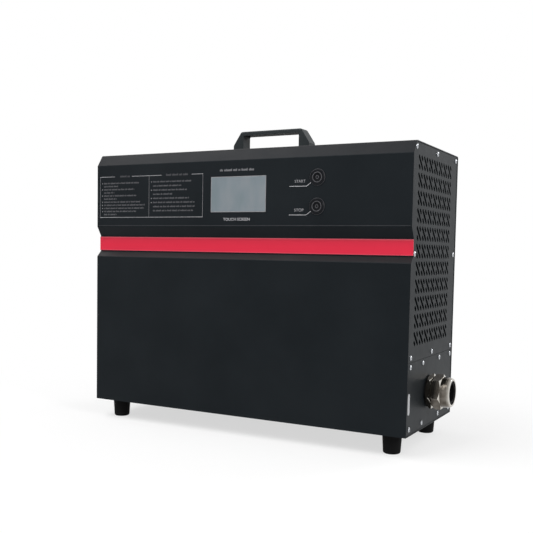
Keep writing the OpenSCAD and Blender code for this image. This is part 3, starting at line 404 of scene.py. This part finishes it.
def insulator():
    """Red-brown moulded post."""
    post = Finish("insulator", (132, 44, 30), 0.36)
    post.paint(post.drift((122, 38, 26), (142, 50, 34), scale=90.0, detail=3.0))
    return post.gloss(post.noise(scale=250.0), low=0.3, high=0.42)


def terminal_plastic():
    """Beige moulded block."""
    block = Finish("terminal_plastic", (182, 178, 160), 0.45)
    block.paint(block.drift((174, 170, 152), (190, 186, 168), scale=80.0, detail=3.0))
    return block.relief(block.noise(scale=900.0), depth_mm=0.04, strength=0.3)


FINISHES = (
    powder_coat, zinc_sheet, red_strip, bright_screw, pale_label, handle_plastic, foot_rubber,
    plated_brass, screen_glass, module_can, circuit_board, button_bezel, button_face, black_plastic,
    sink_aluminium, ferrite, winding, capacitor_sleeve, copper_bar, insulator, terminal_plastic,
)


def dress_nodes():
    """Gives each CAD node the finish that its material slot names."""
    finishes = {make.__name__: make().material for make in FINISHES}
    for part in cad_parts.values():
        for holder in part.material_slots:
            holder.material = finishes[holder.material.name]


def print_ink(name, tone):
    """Screen print of one slightly blue grey, thin enough in places to let the coat through."""
    ink = Finish(name, (tone, tone + 2, tone + 5), 0.55, Specular_IOR_Level=0.2)
    thin, full = 0.88 * tone, 1.06 * tone
    greys = (thin, thin, thin + 4), (full, full, full + 3)
    return ink.paint(ink.drift(*greys, scale=500.0, detail=3.0, ends=(0.25, 0.7))).material


BOLD_INK = print_ink("bold_ink", 214)
CAPTION_INK = print_ink("caption_ink", 186)
LINE_INK = print_ink("line_ink", 148)
HEADING_INK = print_ink("heading_ink", 126)
# The text and faint inks also colour the pale rings and the fold line, which are painted highlights.
TEXT_INK_AND_HIGHLIGHT = print_ink("text_ink_and_highlight", 92)
FAINT_INK_AND_HIGHLIGHT = print_ink("faint_ink_and_highlight", 76)


# Pieces on the fascia: sizes and places are in millimetres, with x and z of the CAD frame

INK_T = 0.06
PRINT_BODY, PRINT_SLOT = "cabinet", "pale_label"
DOT_SIDES, TURNED_SIDES = 12, 64


def on_fascia(x, z, forward=0.0):
    return Vector((x * MM, FASCIA_Y - forward * MM, z * MM))


def ride_piece(name, mesh, material, body):
    """Makes a piece of a finished bmesh and lets it ride on a body."""
    bmesh.ops.recalc_face_normals(mesh, faces=mesh.faces)
    data = bpy.data.meshes.new(name)
    mesh.to_mesh(data)
    mesh.free()
    data.materials.append(material)
    piece = bpy.data.objects.new(name, data)
    bpy.context.scene.collection.objects.link(piece)
    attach(piece, body)


def add_skin(mesh, near, far, smooth=False):
    """Faces between two rings that have as many points each."""
    for i in range(len(near)):
        j = (i + 1) % len(near)
        mesh.faces.new((near[i], near[j], far[j], far[i])).smooth = smooth


def print_piece(name, outlines, ink):
    """One thin raised piece from closed outlines of (x, z)."""
    mesh = bmesh.new()
    for outline in outlines:
        back, front = (
            [mesh.verts.new(on_fascia(x, z, forward)) for x, z in outline]
            for forward in (0.0, INK_T)
        )
        mesh.faces.new(front)
        mesh.faces.new(reversed(back))
        add_skin(mesh, back, front)
    ride_piece(name, mesh, ink, PRINT_BODY)


def loft_piece(name, rings, material, body, smooth=False):
    """A closed skin over a closed row of rings."""
    mesh = bmesh.new()
    rings = [[mesh.verts.new(point) for point in ring] for ring in rings]
    for near, far in zip(rings, rings[1:] + rings[:1]):
        add_skin(mesh, near, far, smooth)
    ride_piece(name, mesh, material, body)


def circle(sides):
    """Cosine and sine of each corner."""
    turns = [2 * math.pi * i / sides for i in range(sides)]
    return [(math.cos(turn), math.sin(turn)) for turn in turns]


def turned_piece(name, centre, profile, material, body):
    """A turning round an axis along Y: the closed profile is (radius, forward)."""
    rings = [
        [
            Vector((
                centre.x + radius * cos * MM,
                FASCIA_Y - forward * MM,
                centre.z + radius * sin * MM,
            ))
            for cos, sin in circle(TURNED_SIDES)
        ]
        for radius, forward in profile
    ]
    loft_piece(name, rings, material, body, smooth=True)


# Outlines


def bar(left, bottom, right, top):
    return [(left, bottom), (right, bottom), (right, top), (left, top)]


def dot(x, z, radius):
    return [(x + radius * cos, z + radius * sin) for cos, sin in circle(DOT_SIDES)]


def stroke(points, width):
    """A mitred line of even width along a few points."""
    points = [Vector(p) for p in points]
    left, right = [], []
    for i, point in enumerate(points):
        before = (point - points[i - 1]).normalized() if i else None
        after = (points[i + 1] - point).normalized() if i + 1 < len(points) else None
        along = ((before or after) + (after or before)).normalized()
        side = Vector((-along.y, along.x))
        run = after or before
        reach = width / 2 / side.dot(Vector((-run.y, run.x)))
        left.append(tuple(point + side * reach))
        right.append(tuple(point - side * reach))
    return right + left[::-1]


# Small print: the letters in each word, and sizes as shares of a letter's height

WORDS = (5, 3, 8, 4, 2, 6, 7, 3, 9, 4)
LETTER_W, LETTER_GAP, WORD_GAP = 0.5, 0.18, 0.75
TALL_LETTER = 1.35


def small_print(left, base, length, height, first):
    """Letter-sized blocks from a first word on, which stand for small print and spell nothing."""
    letter_w, right = LETTER_W * height, left + length
    blocks, x, word = [], left, first
    while x < right:
        for letter in range(WORDS[word % len(WORDS)]):
            if x + letter_w > right:
                break
            tall = (3 * word + 2 * letter) % 5 == 0  # about one letter in five
            top = base + height * (TALL_LETTER if tall else 1.0)
            blocks.append(bar(x, base, x + letter_w, top))
            x += letter_w + LETTER_GAP * height
        x += WORD_GAP * height
        word += 1
    return blocks


LETTER_SPREAD = 0.008


def flat_letters(words):
    """Bmesh of words in the plain built-in face, a little emboldened, flat in X and Y."""
    curve = bpy.data.curves.new("letters", "FONT")
    curve.body = words
    curve.offset = LETTER_SPREAD
    holder = bpy.data.objects.new("letters", curve)
    bpy.context.scene.collection.objects.link(holder)
    bpy.context.view_layer.update()
    depsgraph = bpy.context.evaluated_depsgraph_get()
    flat = bpy.data.meshes.new_from_object(holder.evaluated_get(depsgraph))
    bpy.data.objects.remove(holder)
    bpy.data.curves.remove(curve)
    mesh = bmesh.new()
    mesh.from_mesh(flat)
    bpy.data.meshes.remove(flat)
    return mesh


def settle_faces(mesh):
    """Puts faces in the order of their corners: an extrusion's sides come in another one each run."""
    mesh.verts.index_update()
    count = len(mesh.verts)

    def rank(face):
        first, second, third = sorted(v.index for v in face.verts)[:3]
        return (first * count + second) * count + third

    mesh.faces.sort(key=rank)


def lettering(name, words, left, right, bottom, height, ink):
    """Generic words, fitted to a width and a height."""
    mesh = flat_letters(words)
    across = [v.co.x for v in mesh.verts]
    up = [v.co.y for v in mesh.verts]
    start, foot = min(across), min(up)
    wide = (right - left) / (max(across) - start)
    tall = height / (max(up) - foot)
    for v in mesh.verts:
        v.co = on_fascia(left + (v.co.x - start) * wide, bottom + (v.co.y - foot) * tall)
    grown = bmesh.ops.extrude_face_region(mesh, geom=mesh.faces[:])
    raised = [item for item in grown["geom"] if isinstance(item, bmesh.types.BMVert)]
    bmesh.ops.translate(mesh, verts=raised, vec=(0, -INK_T * MM, 0))
    settle_faces(mesh)
    ride_piece(name, mesh, ink, PRINT_BODY)


# Notes: a frame with gaps for two headings, and two columns of small print

LINE_W, UPRIGHT_W = 0.55, 0.38
NOTES_LEFT, NOTES_DIVIDER, NOTES_RIGHT = -264.0, -165.0, -63.5
NOTES_BOTTOM, NOTES_TOP = 332.0, 397.6
HEADING_GAPS = ((-234.0, -199.0), (-141.0, -84.0))
HEADING_H, HEADING_DROP = 2.4, 1.2
NOTE_H, NOTE_INDENT = 1.9, 4.6
BULLET_R, BULLET_INDENT = 0.85, 1.2
COLUMN_MARGIN = 3.5
WORDS_ON = 3  # words by which each line starts later than the one above


class Heading(NamedTuple):
    left: float
    length: float
    first: int  # its first word


class Column(NamedTuple):
    left: float
    top: float  # base of its first line
    pitch: float
    lengths: tuple
    bullets: tuple  # lines that start with a dot


HEADINGS = (Heading(-223.0, 20.0, first=2), Heading(-132.0, 42.0, first=5))
COLUMNS = (
    Column(
        left=NOTES_LEFT + COLUMN_MARGIN,
        top=NOTES_TOP - 11.5,
        pitch=5.05,
        lengths=(71, 30, 62, 22, 66, 27, 75, 83, 82, 66, 27),
        bullets=(0, 2, 4, 6, 7, 8, 9),
    ),
    Column(
        left=NOTES_DIVIDER + COLUMN_MARGIN,
        top=NOTES_TOP - 11.0,
        pitch=6.5,
        lengths=(73, 56, 65, 37, 69, 80, 81, 76),
        bullets=(0, 2, 4, 5),
    ),
)


def level_lines():
    """Foot of the notes' frame, and its top with gaps for the headings."""
    half = LINE_W / 2
    ends = [NOTES_LEFT] + [x for gap in HEADING_GAPS for x in gap] + [NOTES_RIGHT]
    runs = [(NOTES_LEFT, NOTES_RIGHT, NOTES_BOTTOM)]
    runs += [(start, stop, NOTES_TOP) for start, stop in zip(ends[::2], ends[1::2])]
    return [bar(start - half, z - half, stop + half, z + half) for start, stop, z in runs]


def upright_lines():
    """Sides of the notes' frame and the line between its columns."""
    half, bottom, top = UPRIGHT_W / 2, NOTES_BOTTOM + LINE_W / 2, NOTES_TOP - LINE_W / 2
    return [bar(x - half, bottom, x + half, top) for x in (NOTES_LEFT, NOTES_DIVIDER, NOTES_RIGHT)]


def print_notes():
    text, bullets, headings = [], [], []
    for column in COLUMNS:
        for row, length in enumerate(column.lengths):
            base = column.top - row * column.pitch
            text += small_print(column.left + NOTE_INDENT, base, length, NOTE_H, WORDS_ON * row)
            if row in column.bullets:
                bullets.append(dot(column.left + BULLET_INDENT, base + NOTE_H / 2, BULLET_R))
    for left, length, first in HEADINGS:
        headings += small_print(left, NOTES_TOP - HEADING_DROP, length, HEADING_H, first)
    print_piece("notes_frame", level_lines(), CAPTION_INK)
    print_piece("notes_uprights", upright_lines(), LINE_INK)
    print_piece("notes_text", text, TEXT_INK_AND_HIGHLIGHT)
    print_piece("notes_bullets", bullets, LINE_INK)
    print_piece("notes_headings", headings, FAINT_INK_AND_HIGHLIGHT)


# Screen: a line of small print above, a caption below and a thin rim

SCREEN_LINE_LEFT, SCREEN_LINE_L = -32.0, 60.0
SCREEN_LINE_RISE, SCREEN_LINE_H = 8.0, 2.6
SCREEN_LINE_FIRST = 1
SCREEN_CAPTION_LEFT, SCREEN_CAPTION_RIGHT = -25.0, 21.0
SCREEN_CAPTION_DROP = 13.0
CAPTION_H = 4.2
RIM_W = 0.9


def print_screen():
    low, high = GLASS_LOW / MM, GLASS_HIGH / MM
    middle = (GLASS_LOW.x + GLASS_HIGH.x) / 2 / MM
    line = small_print(
        left=middle + SCREEN_LINE_LEFT,
        base=high.z + SCREEN_LINE_RISE,
        length=SCREEN_LINE_L,
        height=SCREEN_LINE_H,
        first=SCREEN_LINE_FIRST,
    )
    print_piece("screen_heading", line, HEADING_INK)
    left, right = middle + SCREEN_CAPTION_LEFT, middle + SCREEN_CAPTION_RIGHT
    base = low.z - SCREEN_CAPTION_DROP
    lettering("screen_caption", "TOUCH SCREEN", left, right, base, CAPTION_H, CAPTION_INK)
    outer = bar(low.x, low.z, high.x, high.z)
    inner = bar(low.x + RIM_W, low.z + RIM_W, high.x - RIM_W, high.z - RIM_W)
    section = ((outer, 0.0), (outer, INK_T), (inner, INK_T), (inner, 0.0))
    rings = [[on_fascia(x, z, forward) for x, z in outline] for outline, forward in section]
    loft_piece("screen_rim", rings, LINE_INK, PRINT_BODY)


# Push buttons: captions and leaders as offsets from the button's middle, and turned rings that are
# painted highlights

BUTTONS = {"START": 17.0, "STOP": 15.0}  # width of each caption
BUTTON_CAPTION_LEFT, BUTTON_CAPTION_DROP = 36.0, 7.2
LEADER = ((-44.5, -12.0), (-17.0, -12.2), (-8.9, -6.3))

# Profiles of (radius, forward): the first two are forward of the cap's rim, the last of the fascia

# Each profile shapes a pale ring that is a painted highlight, not a part of the button.
RIM_RING = (
    (6.50, -0.10), (6.50, 0.02), (6.65, 0.10), (6.95, 0.14), (7.25, 0.10), (7.42, 0.02),
    (7.42, -0.10),
)
DISH_RING = (
    (1.60, -0.75), (1.60, -0.60), (1.80, -0.54), (2.40, -0.51), (2.65, -0.55), (2.65, -0.75),
)
EDGE_RING = ((11.85, 0.80), (11.98, 0.86), (11.60, 1.25), (11.48, 1.20))


def print_button(word, caption_w):
    """Caption of a button, and the line that leads to it."""
    button = word.lower()
    low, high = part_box(button + "_housing")
    x, z = (low.x + high.x) / 2 / MM, (low.z + high.z) / 2 / MM
    left, base = x - BUTTON_CAPTION_LEFT, z - BUTTON_CAPTION_DROP
    lettering(button + "_caption", word, left, left + caption_w, base, CAPTION_H, LINE_INK)
    leader = stroke([(x + across, z + up) for across, up in LEADER], LINE_W)
    print_piece(button + "_leader", [leader], BOLD_INK)


def paint_button_highlights(button):
    """Pale turned rings that are painted highlights: on the cap's rim, a fainter one in its dish, and
    one on the bezel's edge.
    """
    cap = button + "_cap"
    low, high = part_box(button + "_button")
    centre = (low + high) / 2
    rim = (FASCIA_Y - low.y) / MM

    def on_rim(ring):
        return [(radius, rim + forward) for radius, forward in ring]

    # Painted highlights: pale rings on the cap's rim, in its dish and on the bezel's edge.
    turned_piece(button + "_rim_highlight", centre, on_rim(RIM_RING), TEXT_INK_AND_HIGHLIGHT, cap)
    turned_piece(button + "_lens", centre, on_rim(DISH_RING), FAINT_INK_AND_HIGHLIGHT, cap)
    turned_piece(button + "_edge", centre, EDGE_RING, FAINT_INK_AND_HIGHLIGHT, "cabinet")


# Painted highlight: a pale line along the fold at the foot of the fascia

CREASE_Z, CREASE_W, CREASE_INSET = 318.6, 0.4, 2.0


def paint_crease_highlight():
    # A pale line painted where the fold would catch the light: a painted highlight.
    left, right = WRAP_LOW.x / MM + CREASE_INSET, WRAP_HIGH.x / MM - CREASE_INSET
    print_piece("fascia_crease_highlight", [bar(left, CREASE_Z, right, CREASE_Z + CREASE_W)], FAINT_INK_AND_HIGHLIGHT)


# Stage: white surround, pale floor, soft lamps

WHITE = 1.0
WORLD_LIGHT = 0.42  # the surround's strength as a light: to the eye it is white
FLOOR_SIDE, FLOOR_DROP = 12.0, 0.2 * MM
FLOOR_BOUNCE = 0.8  # the floor's grey to light that isn't seen direct or in gloss
FLOOR_SHADE, FLOOR_GLOW = 0.36, 0.64  # to the eye: grey that takes the shadow, and added light
FADE_START, FADE_END = 0.3, 0.75  # metres from the middle between which the floor goes to white

LAMPS = (  # name, place, width, height, power
    ("key_right", (2.2, -0.9, 1.3), 0.6, 0.6, 22),
    ("front_fill", (-0.8, -1.9, 1.8), 1.4, 1.0, 12),
    ("overhead", (-0.8, -0.7, 2.1), 2.6, 1.0, 26),
    ("rim_right", (1.2, 1.9, 1.5), 0.8, 0.8, 16),
)


def shows_to_eye(tree):
    """1 for rays that come from the camera or by way of gloss or glass, else 0."""
    path = add_node(tree, "LightPath")
    total = path.outputs["Is Camera Ray"]
    for other in ("Is Glossy Ray", "Is Transmission Ray"):
        larger = add_node(tree, "Math")
        larger.operation = "MAXIMUM"
        tree.links.new(total, larger.inputs[0])
        tree.links.new(path.outputs[other], larger.inputs[1])
        total = larger.outputs["Value"]
    return total


def white_surround():
    world = bpy.data.worlds.new("surround")
    world.use_nodes = True
    tree = world.node_tree
    sky = tree.nodes["Background"]
    sky.inputs["Color"].default_value = grey(WHITE)
    level = add_node(tree, "MapRange", To_Min=WORLD_LIGHT, To_Max=WHITE)
    tree.links.new(shows_to_eye(tree), level.inputs["Value"])
    tree.links.new(level.outputs["Result"], sky.inputs["Strength"])
    bpy.context.scene.world = world


def floor_paper():
    """White to the eye, but for the object's shadow, and a plain grey to other light."""
    material = bpy.data.materials.new("floor_paper")
    material.use_nodes = True
    tree = material.node_tree
    tree.nodes.clear()
    link = tree.links.new

    place = add_node(tree, "TexCoord")
    away = add_node(tree, "VectorMath")
    away.operation = "LENGTH"
    fade = add_node(tree, "MapRange", From_Min=FADE_START, From_Max=FADE_END)
    fade.interpolation_type = "SMOOTHSTEP"
    link(place.outputs["Object"], away.inputs[0])
    link(away.outputs["Value"], fade.inputs["Value"])

    shade = add_node(tree, "BsdfDiffuse", Color=grey(FLOOR_SHADE))
    glow = add_node(tree, "Emission", Strength=FLOOR_GLOW)
    lit = add_node(tree, "AddShader")
    link(shade.outputs["BSDF"], lit.inputs[0])
    link(glow.outputs["Emission"], lit.inputs[1])

    white = add_node(tree, "Emission", Strength=WHITE)
    seen = add_node(tree, "MixShader")
    link(fade.outputs["Result"], seen.inputs["Fac"])
    link(lit.outputs["Shader"], seen.inputs[1])
    link(white.outputs["Emission"], seen.inputs[2])

    plain = add_node(tree, "BsdfDiffuse", Color=grey(FLOOR_BOUNCE))
    surface = add_node(tree, "MixShader")
    link(shows_to_eye(tree), surface.inputs["Fac"])
    link(plain.outputs["BSDF"], surface.inputs[1])
    link(seen.outputs["Shader"], surface.inputs[2])
    link(surface.outputs["Shader"], add_node(tree, "OutputMaterial").inputs["Surface"])
    return material


def pale_floor():
    mesh = bmesh.new()
    bmesh.ops.create_grid(mesh, x_segments=1, y_segments=1, size=FLOOR_SIDE / 2)
    data = bpy.data.meshes.new("floor")
    mesh.to_mesh(data)
    mesh.free()
    data.materials.append(floor_paper())
    floor = bpy.data.objects.new("floor", data)
    bpy.context.scene.collection.objects.link(floor)
    floor.location.z = cad_box[0].z - FLOOR_DROP


def soft_lamp(name, place, width, height, power):
    """An area lamp that faces the middle of the object."""
    lamp = bpy.data.lights.new(name, "AREA")
    lamp.shape = "RECTANGLE"
    lamp.size, lamp.size_y = width, height
    lamp.energy = power
    holder = bpy.data.objects.new(name, lamp)
    bpy.context.scene.collection.objects.link(holder)
    holder.location = place
    holder.rotation_mode = "QUATERNION"
    holder.rotation_quaternion = (CENTRE - Vector(place)).to_track_quat("-Z", "Y")


# Camera at the photograph's place

PHOTO_PX, FOCAL_PX = 533, 800
SENSOR_MM = 36.0
CAMERA_PLACE = (0.6107, -1.1460, 0.2801)
CAMERA_YAW, CAMERA_PITCH, CAMERA_ROLL = (math.radians(a) for a in (28.36, 3.71, 1.03))
CAMERA_SHIFT = 0.07
CLIP_START, CLIP_END = 0.01, 100.0


def photo_camera():
    data = bpy.data.cameras.new("photo_camera")
    data.sensor_width = SENSOR_MM
    data.lens = SENSOR_MM * FOCAL_PX / PHOTO_PX
    data.shift_y = CAMERA_SHIFT
    data.clip_start, data.clip_end = CLIP_START, CLIP_END
    holder = bpy.data.objects.new("photo_camera", data)
    bpy.context.scene.collection.objects.link(holder)
    yaw = Matrix.Rotation(CAMERA_YAW, 4, "Z")
    pitch = Matrix.Rotation(math.pi / 2 - CAMERA_PITCH, 4, "X")
    roll = Matrix.Rotation(CAMERA_ROLL, 4, "Z")
    holder.matrix_world = Matrix.Translation(CAMERA_PLACE) @ yaw @ pitch @ roll
    bpy.context.scene.camera = holder


dress_nodes()
print_notes()
print_screen()
for word, caption_w in BUTTONS.items():
    print_button(word, caption_w)
for word in BUTTONS:
    paint_button_highlights(word.lower())
paint_crease_highlight()
white_surround()
pale_floor()
for lamp in LAMPS:
    soft_lamp(*lamp)
photo_camera()
bpy.context.scene.view_settings.view_transform = "Standard"
